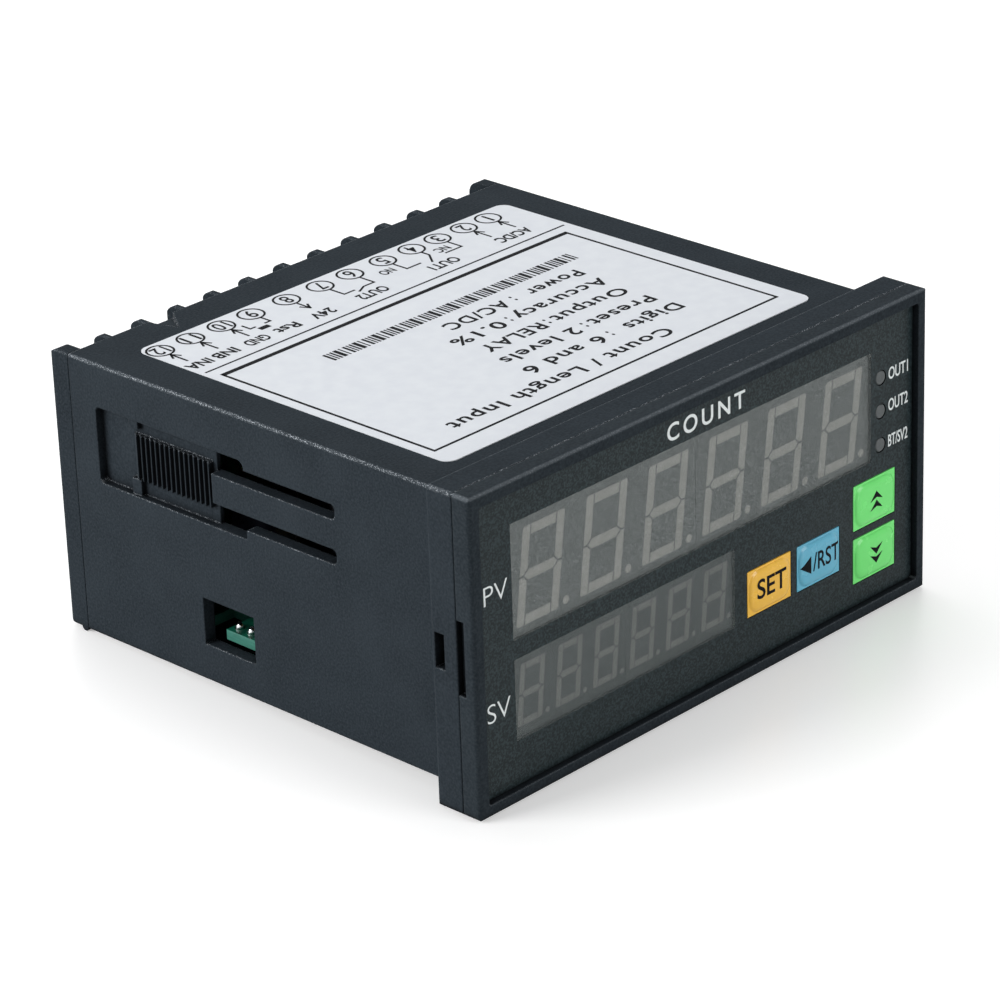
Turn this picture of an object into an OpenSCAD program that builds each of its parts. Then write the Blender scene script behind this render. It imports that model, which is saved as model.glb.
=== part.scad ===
// Panel counter with two rows of digits, four keys and a row of rear screw terminals.
// Millimetres. X runs right seen from the front, Y to the back, Z up.
// The origin is the middle of the bezel on the plane where it seats on the panel.

/* [Bezel] */
// Width of the bezel
bezel_w = 96; // [96:1:130]
// Height of the bezel
bezel_h = 48; // [48:1:72]
// Depth of the snap-on front frame
frame_t = 3.15; // [2.6:0.05:5]
// Depth of the flange that is part of the case
flange_t = 5; // [4.5:0.1:8]
// Radius of the bezel corners
bezel_corner_r = 0.8; // [0.4:0.1:2]
// Radius along the front edges of the frame
front_edge_r = 0.6; // [0.2:0.1:0.8]
// Radius along the back edges of the flange
back_edge_r = 0.8; // [0.3:0.1:1.2]
// Radius along the seam between the frame and the flange
seam_r = 0.2; // [0.1:0.05:0.4]
// Width of the rim round the film
rim_w = 1.9; // [1.4:0.1:3]
// Step from the rim down to the film
film_recess = 1; // [0.5:0.1:1.4]
// Thickness of the film
film_t = 0.5; // [0.3:0.05:0.7]

/* [Case] */
// Overhang of the flange past the sides of the case
lip_side = 3; // [2:0.1:5]
// Overhang of the flange past the top and bottom of the case
lip_top = 2; // [1.5:0.1:4]
// Length of the case behind the panel
case_len = 74.25; // [72:0.25:110]
// Wall thickness of the case
wall = 2; // [1.6:0.1:2.4]
// Radius of the long edges of the case
case_corner_r = 0.6; // [0.3:0.1:1.5]

/* [Bracket track] */
// Height of the track above the middle of the case
track_z = 9.3; // [6:0.05:10]
// Distance from the panel to the front end of the slots
slot_start = 20.45; // [12:0.05:30]
// Distance from the panel to the front edge of the recess
recess_start = 45.1; // [44:0.05:46.5]
// Length of the recess
recess_len = 23.9; // [22:0.1:25]
// Height of the recess
recess_h = 11.9; // [11:0.1:13]
// Depth of the recess
recess_d = 1.3; // [0.8:0.05:1.4]
// Height of one slot
slot_h = 2.3; // [1.5:0.05:2.5]
// Height of the bar between the two slots
bar_h = 4.5; // [3.5:0.1:5]
// Length of the wide entry of a slot
entry_len = 6.7; // [4:0.1:8]
// Number of ratchet teeth
tooth_count = 16; // [8:1:18]
// Pitch of the ratchet teeth
tooth_pitch = 1; // [0.7:0.01:1.05]
// Height of the ratchet pad
ratchet_h = 7; // [5:0.1:8]
// Distance from the front edge of the recess to the first tooth
ratchet_start = 0.9; // [0.6:0.1:1.4]
// Depth of a ratchet tooth
tooth_d = 0.6; // [0.3:0.05:0.7]
// Length of a stop bump along the track
stop_len = 1.9; // [1:0.1:2.2]
// Height of the upper stop bump
stop_h = 1.5; // [1:0.1:2]
// Height of the lower stop bump
low_stop_h = 2.5; // [1:0.1:2.6]
// Distance from the front edge of the recess to the stop bumps
stop_start = 15.6; // [15:0.1:17]
// How far the stop bumps stay below the face of the wall
stop_sunk = 0.5; // [0.2:0.1:0.7]

/* [Side window] */
// Distance from the panel to the window
window_start = 38.15; // [30:0.05:42]
// Length of the window
window_len = 10.4; // [6:0.1:13]
// Height of the window
window_h = 7.35; // [5:0.05:9]
// Height of the middle of the window above the bottom of the case
window_lift = 9.6; // [9:0.05:11]

/* [Front latches] */
// Length of the latch window in the flange
latch_len = 1.75; // [1.2:0.05:2.5]
// Height of the latch window in the flange
latch_h = 5.3; // [4.6:0.1:7]
// Width of a snap hook
hook_h = 3.8; // [3:0.1:4]
// Thickness of a snap hook
hook_t = 1.3; // [1:0.1:1.6]
// Length of the pry slot in the edge of the frame
pry_h = 11.2; // [8:0.1:14]
// Depth of the pry slot from the side
pry_d = 1; // [0.6:0.1:1.4]
// Depth of the pry slot from the back of the frame
pry_t = 1.4; // [0.8:0.05:1.6]

/* [Display windows] */
// Distance from the left edge of the film to both windows
window_margin = 6.65; // [6:0.05:9]
// Distance from the top edge of the film to the upper window
window_top = 4.9; // [4:0.1:7]
// Gap between the two windows
window_gap = 2.9; // [2.6:0.1:5]
// Distance from the lower window to the bottom edge of the film
window_bottom = 6.7; // [5:0.1:9]
// Share of the upper window in the height of both
pv_share = 0.584; // [0.54:0.002:0.62]
// Gap between the upper window and the lamps
lamp_gap = 1.15; // [1:0.05:4]
// Gap between the lower window and the set key
set_gap = 2.75; // [2:0.05:6]

/* [Digits] */
// Digits in one display module
digits = 3; // [2:1:4]
// Rim of a module that the film hides above and below its window
module_rim = 1; // [0.5:0.1:1.2]
// Rim of a row of modules that the film hides at its two ends
end_rim = 0.35; // [0.2:0.05:0.4]
// Depth of a module of the upper row
pv_module_t = 8; // [7:0.1:9]
// Margin above and below a digit of the upper row in its window
pv_digit_margin = 1.4; // [1:0.1:3]
// Share of the upper digits' pitch that a digit takes
pv_digit_share = 0.66; // [0.5:0.005:0.7]
// Width of a segment of the upper row
pv_segment = 1.55; // [1:0.05:1.8]
// Lean of the upper digits in degrees
pv_lean = 7.6; // [0:0.2:10]
// How far the upper digits sit below the middle of their window
pv_digit_drop = 0.3; // [0:0.05:0.5]
// Depth of a module of the lower row
sv_module_t = 7.2; // [6.8:0.1:7.4]
// Margin above and below a digit of the lower row in its window
sv_digit_margin = 1.5; // [1:0.1:3]
// Share of the lower digits' pitch that a digit takes
sv_digit_share = 0.66; // [0.5:0.005:0.68]
// Width of a segment of the lower row
sv_segment = 1.05; // [0.7:0.05:1.25]
// Lean of the lower digits in degrees
sv_lean = 6; // [0:0.2:8]
// Depth of a light pipe in a module's face
segment_t = 0.3; // [0.2:0.05:0.6]

/* [Lamps] */
// Diameter of an indicator lamp
lamp_d = 2.2; // [1.8:0.1:2.6]
// Distance from the right edge of the film to the lamps
lamp_margin = 7.3; // [7:0.1:7.8]
// Height of the top lamp above the middle of the bezel
lamp_top_z = 12.5; // [11:0.1:16]
// Pitch of the lamps
lamp_pitch = 5.3; // [4.6:0.1:6]
// Number of lamps
lamp_count = 3; // [1:1:3]

/* [Keys] */
// Width of a key
key_w = 9.5; // [8:0.1:9.8]
// Height of a key
key_h = 7.1; // [6:0.1:7.4]
// Height of the embossed dome over the film
key_dome = 0.5; // [0.3:0.05:0.9]
// Corner radius of the embossed dome
key_dome_r = 2.4; // [1.5:0.1:3]
// Margin round the dome
key_dome_margin = 0.35; // [0.2:0.05:1]
// Travel of a key
key_travel = 0.4; // [0.2:0.05:0.6]
// Distance from the right edge of the film to the middle of the arrow keys
arrow_margin = 8.75; // [8.4:0.05:9.2]
// Pitch between the two arrow keys
arrow_pitch = 8.5; // [8.2:0.1:8.6]
// Height of the down key's middle above the bottom edge of the film
arrow_lift = 7.2; // [7:0.1:7.5]
// Pitch from the shift key to the arrow keys
shift_pitch = 12.8; // [12:0.1:13]
// Pitch from the set key to the shift key
set_pitch = 10.95; // [10.7:0.05:11.2]
// Height of the set and shift keys above the bottom edge of the film
low_key_lift = 10.7; // [10:0.1:12]
// Diameter of a key plunger
plunger_d = 3.4; // [2.6:0.1:3.8]
// Width of a switch body
switch_w = 6; // [5.6:0.1:7]
// Depth of a switch body
switch_t = 3.5; // [3:0.1:4]

/* [Rear cover] */
// Number of terminal bays
bay_count = 12; // [8:1:12]
// Thickness of a fin between two bays
fin_t = 1.2; // [0.8:0.1:1.6]
// Depth of the fins behind the case
fin_depth = 4.26; // [4:0.02:8]
// Thickness of the two outer fins
outer_fin_t = 2.5; // [2.4:0.1:3.5]
// Step from the top of the case down to the inner fins
fin_drop = 0.45; // [0.2:0.05:1]
// Radius of the fins' rear corners
fin_r = 2.4; // [1:0.1:3]
// Radius of the outer fins' rear corners
outer_fin_r = 2; // [0.5:0.1:2.4]
// Step from the rear edge of the case down to the floor of a bay
bay_sink = 1; // [0.5:0.1:2]
// Thickness of the cover's plate
cover_t = 3; // [2.5:0.1:4]
// Width of the cover's latch
tongue_w = 4.4; // [3:0.1:6]
// Distance from the middle of the cover to its latch and to the pry mark over it
tongue_x = 27.1; // [20:0.1:32]
// Width of the pointed pry mark
pry_point_w = 5; // [4:0.1:6]
// Length of the pointed pry mark
pry_point_len = 5; // [3:0.1:5.4]
// Depth of the pointed pry mark at the rear edge
pry_point_d = 0.9; // [0.5:0.05:1]

/* [Terminals] */
// Height of a terminal tab
tab_h = 9; // [7:0.1:12]
// Thickness of a terminal tab
tab_t = 0.8; // [0.5:0.1:1.2]
// Thickness of a wire clamp
clamp_t = 1; // [0.8:0.1:1.4]
// Diameter of a terminal screw
screw_d = 2.9; // [2.4:0.1:3.2]
// Diameter of a screw head
screw_head_d = 5; // [4.4:0.1:5.2]
// Height of a screw head
screw_head_t = 1.7; // [1.2:0.1:2]

/* [Boards] */
// Thickness of the boards
board_t = 1.6; // [1:0.1:2]
// Height of the main board's upper face above the floor of the case
main_board_lift = 6; // [5.6:0.1:6.4]
// Height of the terminal board
terminal_board_h = 25; // [24:0.5:28]
// Width of a relay
relay_w = 15.4; // [13:0.1:17]
// Length of a relay
relay_len = 19; // [16:0.1:21]
// Height of a relay
relay_h = 15.2; // [12:0.1:18]
// Width of the transformer core
core_w = 20; // [18:0.5:24]
// Height of the transformer core
core_h = 18; // [14:0.5:22]
// Depth of the transformer core
core_d = 6; // [5:0.5:8]
// Diameter of the larger filter capacitor
capacitor_d = 10; // [8:0.5:12]
// Height of the larger filter capacitor
capacitor_h = 16; // [12:0.5:22]
// Width of the controller
chip_w = 12; // [8:0.5:14]

/* [Label] */
// Width of the label
label_w = 76.3; // [60:0.1:84]
// Length of the label
label_len = 62.2; // [40:0.1:66]
// Distance from the panel to the label
label_start = 5; // [3:0.1:8]
// Corner radius of the label
label_r = 1.8; // [0.5:0.1:3]
// Thickness of the label
label_t = 0.12; // [0.08:0.02:0.3]

/* [Hidden] */

$fn = 48;

// Clearances between pieces
sheet_fit = 0.1;
slide_fit = 0.15;
case_fit = 0.3;
// How far a cutting shape runs past the face that it cuts
past = 0.5;

// The case and its bore
case_w = bezel_w - 2 * lip_side;
case_h = bezel_h - 2 * lip_top;
bore_w = case_w - 2 * wall;
bore_h = case_h - 2 * wall;
bore_r = 0.4;
insert_w = bore_w - 2 * case_fit;
insert_h = bore_h - 2 * case_fit;

// Planes of the front, from the front backwards
face_y = -(flange_t + frame_t);
film_y = face_y + film_recess;
film_back_y = film_y + film_t;
module_y = film_back_y + sheet_fit;
display_board_y = module_y + pv_module_t;
display_board_back_y = display_board_y + board_t;

// The film and what is seen through it
pocket_w = bezel_w - 2 * rim_w;
pocket_h = bezel_h - 2 * rim_w;
pocket_r = 0.5;
film_w = pocket_w - 2 * sheet_fit;
film_h = pocket_h - 2 * sheet_fit;
window_x = -film_w / 2 + window_margin;
lamp_x = film_w / 2 - lamp_margin;
lamp_hole_d = lamp_d + 2 * sheet_fit;
lamp_edge_r = 0.25;
lamp_flange_t = 0.6;
lamp_flange_d = lamp_d + 0.8;
lamp_len = 4;

// The gap between two display modules and their pins
module_gap = 0.04;
module_pin_count = 6;
module_pin_pitch = 2.54;
module_pin_inset = 1.6;
module_pin_d = 0.5;
module_pin_hole_d = module_pin_d + 2 * slide_fit;

// Places of the keys, as X and Z
arrow_x = film_w / 2 - arrow_margin;
shift_x = arrow_x - shift_pitch;
set_x = shift_x - set_pitch;
arrow_z = arrow_lift - film_h / 2;
low_key_z = low_key_lift - film_h / 2;
up_at = [arrow_x, arrow_z + arrow_pitch];
down_at = [arrow_x, arrow_z];
shift_at = [shift_x, low_key_z];
set_at = [set_x, low_key_z];
key_places = [set_at, shift_at, up_at, down_at];
key_corner_r = 0.4;
plunger_bore_d = plunger_d + 2 * slide_fit;
plunger_seat = 1.4;
switch_floor = plunger_seat + key_travel + slide_fit;
switch_y = display_board_y - switch_t;
switch_leg_w = 0.7;
switch_leg_t = 0.3;

// The two windows, between the left edge of the film and the lamps or the set key
windows_h = film_h - window_top - window_gap - window_bottom;
pv_window_w = lamp_x - lamp_d / 2 - lamp_gap - window_x;
pv_window_h = windows_h * pv_share;
pv_x = window_x + pv_window_w / 2;
pv_z = (film_h - pv_window_h) / 2 - window_top;
sv_window_w = set_x - key_w / 2 - set_gap - window_x;
sv_window_h = windows_h - pv_window_h;
sv_x = window_x + sv_window_w / 2;
sv_drop = (film_h - sv_window_h) / 2 - window_bottom;

// The display modules, two in a row behind each window, and their digits
pv_module_w = pv_window_w / 2 + end_rim;
pv_module_h = pv_window_h + 2 * module_rim;
pv_pitch = pv_window_w / 2 / digits;
pv_digit_w = pv_pitch * pv_digit_share;
pv_digit_h = pv_window_h - 2 * pv_digit_margin;
sv_module_w = sv_window_w / 2 + end_rim;
sv_module_h = sv_window_h + 2 * module_rim;
sv_pitch = sv_window_w / 2 / digits;
sv_digit_w = sv_pitch * sv_digit_share;
sv_digit_h = sv_window_h - 2 * sv_digit_margin;

// Ribs of the frame that hold the display board against stops in the case
rib_t = 1.2;
rib_len = 18;
rib_x = 19;
board_stop_w = 1.8;
board_stop_h = 4;
board_stop_len = 3;

// Snap hooks of the frame
hook_x = bore_w / 2 - case_fit - hook_t;
latch_back = 0.9;
hook_nose = 1.4;
hook_clear = 0.15;

// Guides and plates for the boards
rail_w = 1.4;
rail_t = 1.4;
rail_gap = 2.4;
rail_front = display_board_back_y + board_stop_len + 1;
rail_rear = case_len - bay_sink - cover_t - board_t - 3;
main_board_top = main_board_lift - bore_h / 2;
main_board_z = main_board_top - board_t;
window_end = window_start + window_len;
board_notch_d = 5.5;
board_notch_len = 2;

// The header between the boards
header_count = 14;
header_pitch = 2.54;
header_t = 2.5;
header_pin = 0.6;
header_hole = header_pin + 2 * sheet_fit;
header_z = main_board_top + header_t / 2;

// What stands on the main board
core_inset = 16.7;
transformer_at = [core_inset - insert_w / 2, 24];
core_leg = 5;
core_yoke = 3;
core_window_w = (core_w - core_leg - 2 * core_yoke) / 2;
coil_side = 3.5;
relay_gap = 2;
relay_inset = 20.7;
relay_x = insert_w / 2 - relay_inset;
relay_edge_r = 0.6;

// The rear cover, from the case backwards
bay_floor_y = case_len - bay_sink;
cover_y = bay_floor_y - cover_t;
fin_y = case_len + sheet_fit;
rear_y = fin_y + fin_depth;
fin_pitch = (case_w - 2 * outer_fin_t + fin_t) / bay_count;
bay_w = fin_pitch - fin_t;
bay_xs = [for (i = [0 : bay_count - 1]) (i - (bay_count - 1) / 2) * fin_pitch];
fin_xs = [for (i = [1 : bay_count - 1]) (i - bay_count / 2) * fin_pitch];
fin_edge_r = fin_t * 0.42;
outer_edge_r = outer_fin_t * 0.48;
tongue_len = 1.4;
tongue_rise = 0.5;
tongue_y = cover_y + (cover_t - tongue_len) / 2;
gusset_w = 1;
gusset_rise = 2;
gusset_clear = 3.5;

// The terminals
tab_side = 0.4;
tab_w = bay_w - 2 * tab_side;
pin_w = 1.2;
pin_drop = tab_h / 2 - 1;
pin_out = 1;
tab_y = bay_floor_y;
clamp_y = tab_y + tab_t;
head_y = clamp_y + clamp_t;
clamp_h = 6;
clamp_groove = 0.35;
clamp_groove_w = 0.8;
screw_end_y = cover_y + 0.4;
recess_w = 0.9;
recess_l = 3.2;
recess_t = 1;
terminal_board_y = cover_y - sheet_fit - board_t;
terminal_board_lift = 2.3;
terminal_board_z = terminal_board_lift - insert_h / 2;
main_board_front = display_board_back_y + case_fit;
main_board_len = terminal_board_y - case_fit - main_board_front;
relay_back = 7;
relay_y = terminal_board_y - relay_back - relay_len / 2;

// Colours
charcoal = [0.16, 0.17, 0.19];
film_grey = [0.2, 0.21, 0.22];
smoke = [0.35, 0.36, 0.36];
module_grey = [0.42, 0.43, 0.43];
segment_grey = [0.62, 0.6, 0.56];
board_green = [0.1, 0.42, 0.25];
plastic_black = [0.1, 0.1, 0.11];
brass = [0.78, 0.66, 0.36];
steel = [0.72, 0.73, 0.75];
ferrite = [0.22, 0.21, 0.21];
tape_yellow = [0.85, 0.75, 0.3];
relay_blue = [0.12, 0.3, 0.6];
sleeve_dark = [0.15, 0.17, 0.25];
label_white = [0.89, 0.91, 0.93];
lamp_grey = [0.38, 0.38, 0.36];
key_yellow = [0.94, 0.71, 0.2];
key_blue = [0.37, 0.75, 0.88];
key_green = [0.4, 0.85, 0.4];

// Directions for flat outlines: each takes an outline and gives it a depth along one axis
module along_y(y, depth) {
    translate([0, y + depth, 0]) rotate([90, 0, 0]) linear_extrude(depth) children();
}

module along_x(x, depth) {
    translate([x, 0, 0]) rotate([90, 0, 90]) linear_extrude(depth) children();
}

module along_z(z, depth) {
    translate([0, 0, z]) linear_extrude(depth) children();
}

// A rectangle about its middle with round corners
module round_rect(w, h, r) {
    square([w - 2 * r, h], center = true);
    square([w, h - 2 * r], center = true);
    for (x = [-1, 1], y = [-1, 1]) translate([x * (w / 2 - r), y * (h / 2 - r)]) circle(r);
}

// A rectangle from x = 0 to depth, about y = 0, with round corners at its far end
module round_end(depth, w, r) {
    translate([0, -w / 2]) square([depth - r, w]);
    translate([0, -w / 2 + r]) square([depth, w - 2 * r]);
    for (y = [-1, 1]) translate([depth - r, y * (w / 2 - r)]) circle(r);
}

// The same with small round corners at its near end too, for the seam of the bezel
module seam_end(depth, w, r) {
    intersection() {
        round_end(depth, w, r);
        translate([depth, 0]) mirror([1, 0]) round_end(depth, w, seam_r);
    }
}

// A slab of the bezel's outline with round edges on its outer face and at the seam
module edge_slab(depth, r) {
    intersection() {
        along_y(0, depth) round_rect(bezel_w, bezel_h, bezel_corner_r);
        along_x(-bezel_w / 2, bezel_w) seam_end(depth, bezel_h, r);
        along_z(-bezel_h / 2, bezel_h) rotate(90) seam_end(depth, bezel_w, r);
    }
}

// Both sides of the case
module both_sides() {
    children();
    mirror([1, 0, 0]) children();
}

// The outline of one bracket slot and its wide entry, from the recess forwards, about the track's middle
module slot_outline(entry_r) {
    slot_r = 0.8;
    entry_h = (recess_h - bar_h) / 2;
    translate([recess_start, bar_h / 2 + slot_h / 2]) mirror([1, 0])
        round_end(recess_start - slot_start, slot_h, slot_r);
    translate([recess_start, bar_h / 2 + entry_h / 2]) mirror([1, 0])
        round_end(entry_len, entry_h, entry_r);
}

// What is cut from the left wall for the clamp bracket
module track_cuts() {
    recess_r = 0.8;
    entry_r = 1.2;
    low_entry_r = 0.3;
    along_x(-case_w / 2 - past, recess_d + past)
        translate([recess_start, track_z]) round_end(recess_len, recess_h, recess_r);
    along_x(-case_w / 2 - past, wall + 2 * past) translate([0, track_z]) {
        slot_outline(entry_r);
        mirror([0, 1]) slot_outline(low_entry_r);
    }
}

// The ratchet teeth and the stop bumps that stand in the recess of the left wall
module track_teeth() {
    floor_x = -case_w / 2 + recess_d;
    root = 0.3;
    embed = (wall - recess_d) / 2;
    outline = [
        [floor_x + embed, 0],
        for (i = [0 : tooth_count - 1]) each [
            [floor_x - root - tooth_d, i * tooth_pitch],
            [floor_x - root, (i + 1) * tooth_pitch]
        ],
        [floor_x + embed, tooth_count * tooth_pitch]
    ];
    translate([0, recess_start + ratchet_start, 0])
        along_z(track_z - ratchet_h / 2, ratchet_h) polygon(outline);
    translate([-case_w / 2 + stop_sunk, recess_start + stop_start, track_z]) {
        translate([0, 0, recess_h / 2 - stop_h])
            cube([recess_d + embed - stop_sunk, stop_len, stop_h + embed]);
        translate([0, 0, -recess_h / 2 - embed])
            cube([recess_d + embed - stop_sunk, stop_len, low_stop_h + embed]);
    }
}

// What is cut from the left wall and flange beside the bracket track
module wall_windows() {
    translate([-case_w / 2 - past, window_start, window_lift - (case_h + window_h) / 2])
        cube([wall + 2 * past, window_len, window_h]);
    translate([-bezel_w / 2 - past, -latch_back - latch_len, -latch_h / 2])
        cube([lip_side + wall + 2 * past, latch_len, latch_h]);
}

// The guides for the main board and the stops for the display board, on the left wall
module board_guides() {
    wall_x = -bore_w / 2 - wall / 2;
    for (span = [[rail_front, window_start - rail_gap], [window_end + rail_gap, rail_rear]],
         z = [main_board_z - sheet_fit - rail_t, main_board_top + sheet_fit])
        translate([wall_x, span[0], z]) cube([rail_w + wall / 2, span[1] - span[0], rail_t]);
    for (z = [-bore_h / 2 - wall / 2, bore_h / 2 - board_stop_h])
        translate([wall_x, display_board_back_y + sheet_fit, z])
            cube([board_stop_w + wall / 2, board_stop_len, board_stop_h + wall / 2]);
}

// The pointed ramp in the top rear edge where a blade goes in to lift the cover
module pry_mark() {
    half = pry_point_w / 2;
    tip_x = -half / 3;
    top = case_h / 2;
    translate([-tongue_x, case_len, 0]) intersection() {
        along_z(top - pry_point_d, pry_point_d + past)
            polygon([[-half, past], [-half, 0], [tip_x, -pry_point_len], [half, 0], [half, past]]);
        along_x(-half, 2 * half) polygon([
            [-pry_point_len - past, top], [0, top - pry_point_d], [past, top - pry_point_d],
            [past, top + past], [-pry_point_len - past, top + past]
        ]);
    }
}

// The pocket inside the top wall that the cover's latch snaps into
module latch_pocket() {
    translate([-tongue_x - tongue_w / 2 - case_fit, tongue_y - case_fit, bore_h / 2 - past])
        cube([tongue_w + 2 * case_fit, tongue_len + 2 * case_fit, past + tongue_rise + slide_fit]);
}

module case() {
    color(charcoal) {
        difference() {
            union() {
                translate([0, -flange_t, 0]) edge_slab(flange_t, back_edge_r);
                along_y(-past, case_len + past) round_rect(case_w, case_h, case_corner_r);
            }
            along_y(-flange_t - past, flange_t + case_len + 2 * past)
                round_rect(bore_w, bore_h, bore_r);
            both_sides() {
                track_cuts();
                wall_windows();
            }
            for (turn = [0, 180]) rotate([0, turn, 0]) {
                pry_mark();
                latch_pocket();
            }
        }
        both_sides() {
            track_teeth();
            board_guides();
        }
    }
}

// One snap hook on the left, with its nose in the latch window
module snap_hook() {
    nose_y = -latch_back - latch_len + hook_clear;
    nose_len = latch_len - 2 * hook_clear;
    along_z(-hook_h / 2, hook_h) polygon([
        [-hook_x, -flange_t - past],
        [-hook_x, nose_y + nose_len],
        [-hook_x - hook_t, nose_y + nose_len],
        [-hook_x - hook_t - hook_nose, nose_y + hook_clear],
        [-hook_x - hook_t - hook_nose, nose_y],
        [-hook_x - hook_t, nose_y],
        [-hook_x - hook_t, -flange_t - past]
    ]);
}

// The hole in the front wall that both rows of modules stand in
module display_opening() {
    gap = [2, 2] * case_fit;
    sv_size = [2 * sv_module_w, sv_module_h] + gap;
    translate([pv_x, pv_z]) square([2 * pv_module_w, pv_module_h] + gap, center = true);
    translate([sv_x, -sv_drop]) square(sv_size, center = true);
    translate([sv_x - sv_size[0] / 2, -sv_drop]) square([sv_size[0], pv_z + sv_drop]);
}

module lamp_holes(d) {
    for (i = [0 : lamp_count - 1]) translate([lamp_x, lamp_top_z - i * lamp_pitch]) circle(d = d);
}

module key_holes(gap) {
    for (at = key_places) translate(at) round_rect(key_w + 2 * gap, key_h + 2 * gap, key_corner_r);
}

module front_frame() {
    front_wall_t = frame_t - film_recess - film_t;
    rib_back = display_board_y - sheet_fit;
    color(charcoal) {
        difference() {
            translate([0, -flange_t, 0]) mirror([0, 1, 0]) edge_slab(frame_t, front_edge_r);
            along_y(face_y - past, film_recess + film_t + past)
                round_rect(pocket_w, pocket_h, pocket_r);
            along_y(film_back_y - past, front_wall_t + 2 * past) {
                display_opening();
                lamp_holes(lamp_hole_d);
                key_holes(case_fit);
            }
            both_sides()
                translate([-bezel_w / 2 - past, -flange_t - pry_t, -pry_h / 2])
                    cube([pry_d + past, pry_t + past, pry_h]);
        }
        both_sides() snap_hook();
        for (x = [-rib_x, rib_x], side = [-1, 1])
            translate([x - rib_len / 2, -flange_t - past, side * (insert_h - rib_t) / 2 - rib_t / 2])
                cube([rib_len, rib_back + flange_t + past, rib_t]);
    }
}

module window_outline(x, z, w, h) {
    translate([x, z]) square([w, h], center = true);
}

module front_overlay() {
    color(film_grey)
        along_y(film_y, film_t) difference() {
            round_rect(film_w, film_h, pocket_r);
            window_outline(pv_x, pv_z, pv_window_w, pv_window_h);
            window_outline(sv_x, -sv_drop, sv_window_w, sv_window_h);
            key_holes(slide_fit);
            lamp_holes(lamp_hole_d);
        }
}

module pv_window() {
    color(smoke, 0.6) along_y(film_y, film_t) window_outline(pv_x, pv_z, pv_window_w, pv_window_h);
}

module sv_window() {
    color(smoke, 0.6) along_y(film_y, film_t) window_outline(sv_x, -sv_drop, sv_window_w, sv_window_h);
}

// The points of one bar, mirrored by the signs sx and sz and leaning by the tangent k
function bar_points(points, sx, sz, k) = [
    for (i = [0 : len(points) - 1])
        let (p = points[sx * sz > 0 ? i : len(points) - 1 - i])
        [sx * p[0] + k * sz * p[1], sz * p[1]]
];

// The seven bars and the point of one digit about its middle: the side bars run to its full height
module digit(w, h, t, lean) {
    k = tan(lean);
    gap = t / 14;
    cut = t / 5;
    point_d = t * 0.85;
    x = w / 2;
    z = h / 2;
    top_bar = [[t + gap - x, z], [t + gap - x, z - t], [x - t - gap, z - t], [x - t - gap, z]];
    side_bar = [[x, z - cut], [x - cut, z], [x - t, z], [x - t, t / 2 + gap], [x - t / 2, gap], [x, gap]];
    middle_bar = [[t / 2 + gap - x, 0], [t + gap - x, -t / 2], [x - t - gap, -t / 2],
                  [x - t / 2 - gap, 0], [x - t - gap, t / 2], [t + gap - x, t / 2]];
    polygon(bar_points(middle_bar, 1, 1, k));
    for (sz = [-1, 1]) {
        polygon(bar_points(top_bar, 1, sz, k));
        for (sx = [-1, 1]) polygon(bar_points(side_bar, sx, sz, k));
    }
    translate([x - k * z + t, t / 2 - z]) circle(d = point_d);
}

// The digits of one module about the middle of its half of the window
module digit_row(pitch, w, h, t, lean) {
    for (i = [0 : digits - 1]) translate([(i - (digits - 1) / 2) * pitch, 0]) digit(w, h, t, lean);
}

module pv_digits() {
    translate([0, -pv_digit_drop]) digit_row(pv_pitch, pv_digit_w, pv_digit_h, pv_segment, pv_lean);
}

module sv_digits() {
    digit_row(sv_pitch, sv_digit_w, sv_digit_h, sv_segment, sv_lean);
}

// Where the two rows of pins of a module stand
module module_pins(module_h, d) {
    for (i = [0 : module_pin_count - 1], side = [-1, 1])
        translate([(i - (module_pin_count - 1) / 2) * module_pin_pitch,
                   side * (module_h / 2 - module_pin_inset)])
            circle(d = d);
}

// A module with its face at y = 0 and the cavities of its digits cut in the face
module display_module(w, h, depth) {
    difference() {
        along_y(0, depth) square([w - module_gap, h], center = true);
        along_y(-past, segment_t + past) children();
    }
    along_y(depth - past, display_board_back_y - module_y - depth + past) module_pins(h, module_pin_d);
}

// The digits of a module stand off its middle, towards the next module, by half of its end rim
module pv_module(side) {
    translate([pv_x + side * pv_module_w / 2, module_y, pv_z])
        display_module(pv_module_w, pv_module_h, pv_module_t)
            translate([-side * end_rim / 2, 0]) pv_digits();
}

module sv_module(side) {
    translate([sv_x + side * sv_module_w / 2, module_y, -sv_drop])
        display_module(sv_module_w, sv_module_h, sv_module_t)
            translate([-side * end_rim / 2, 0]) sv_digits();
}

module pv_display_left() {
    color(module_grey) pv_module(-1);
}

module pv_display_right() {
    color(module_grey) pv_module(1);
}

module pv_segments() {
    color(segment_grey)
        for (side = [-1, 1])
            translate([pv_x + side * pv_window_w / 4, module_y, pv_z])
                along_y(0, segment_t) pv_digits();
}

module sv_display_left() {
    color(module_grey) sv_module(-1);
}

module sv_display_right() {
    color(module_grey) sv_module(1);
}

module sv_segments() {
    color(segment_grey)
        for (side = [-1, 1])
            translate([sv_x + side * sv_window_w / 4, module_y, -sv_drop])
                along_y(0, segment_t) sv_digits();
}

// Something at each lamp, with its axis along Y from the front of the film
module at_lamps() {
    for (i = [0 : lamp_count - 1])
        translate([lamp_x, film_y, lamp_top_z - i * lamp_pitch]) rotate([-90, 0, 0]) children();
}

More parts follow.
